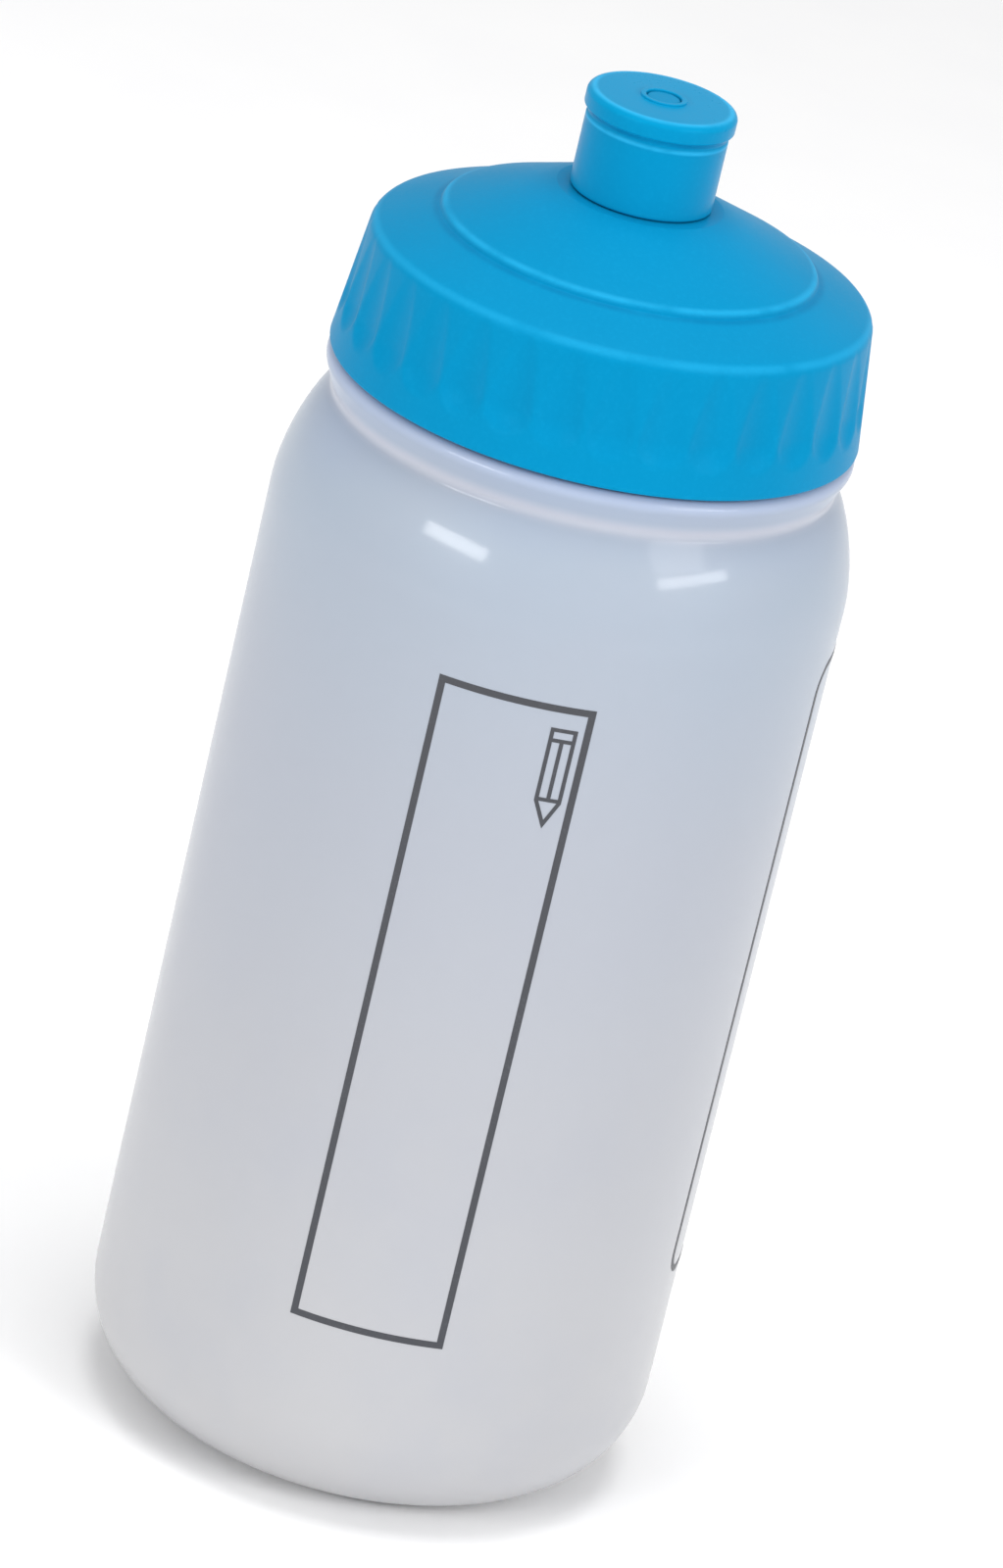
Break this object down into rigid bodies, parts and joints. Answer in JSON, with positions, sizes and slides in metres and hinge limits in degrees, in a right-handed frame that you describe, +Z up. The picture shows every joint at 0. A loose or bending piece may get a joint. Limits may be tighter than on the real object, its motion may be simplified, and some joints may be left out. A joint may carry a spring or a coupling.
{
  "type": "sports squeeze bottle",
  "caption": "Straight-sided squeeze bottle with a rounded bead under a fluted screw lid and a push-pull drinking nozzle.",
  "frame": {"origin": "centre of the base, on the surface that the bottle stands on", "axes": "+Z up the bottle's axis towards the nozzle, -Y the side with the write-in panel, +X to its right"},
  "size_m": [0.074, 0.074, 0.185],
  "materials": {
    "frosted_bottle": "natural translucent polyethylene, softly glossy, milky",
    "seal": "soft white sealing ring, matt",
    "lid_blue": "process blue polypropylene, satin",
    "nozzle_blue": "process blue soft polyethylene, satin",
    "panel_ink": "dark grey screen-print ink, thin film"
  },
  "bodies": {
    "bottle": {"bottle": "frosted_bottle"},
    "seal": {"sealing_ring": "seal"},
    "lid": {"lid": "lid_blue"},
    "nozzle": {"nozzle": "nozzle_blue"}
  },
  "joints": [
    {"name": "lid_lift", "type": "slide", "parent": "bottle", "child": "seal", "axis": [0, 0, 1], "range_m": [0, 0.00501]},
    {"name": "lid_turn", "type": "hinge", "parent": "seal", "child": "lid", "pos_m": [0, 0, 0], "axis": [0, 0, 1], "range_deg": [0, 450]},
    {"name": "nozzle_pull", "type": "slide", "parent": "lid", "child": "nozzle", "axis": [0, 0, 1], "range_m": [0, 0.0055]}
  ],
  "couplings": [
    {"joint": "lid_lift", "follows": "lid_turn", "m_per_rad": 0.00063662}
  ]
}
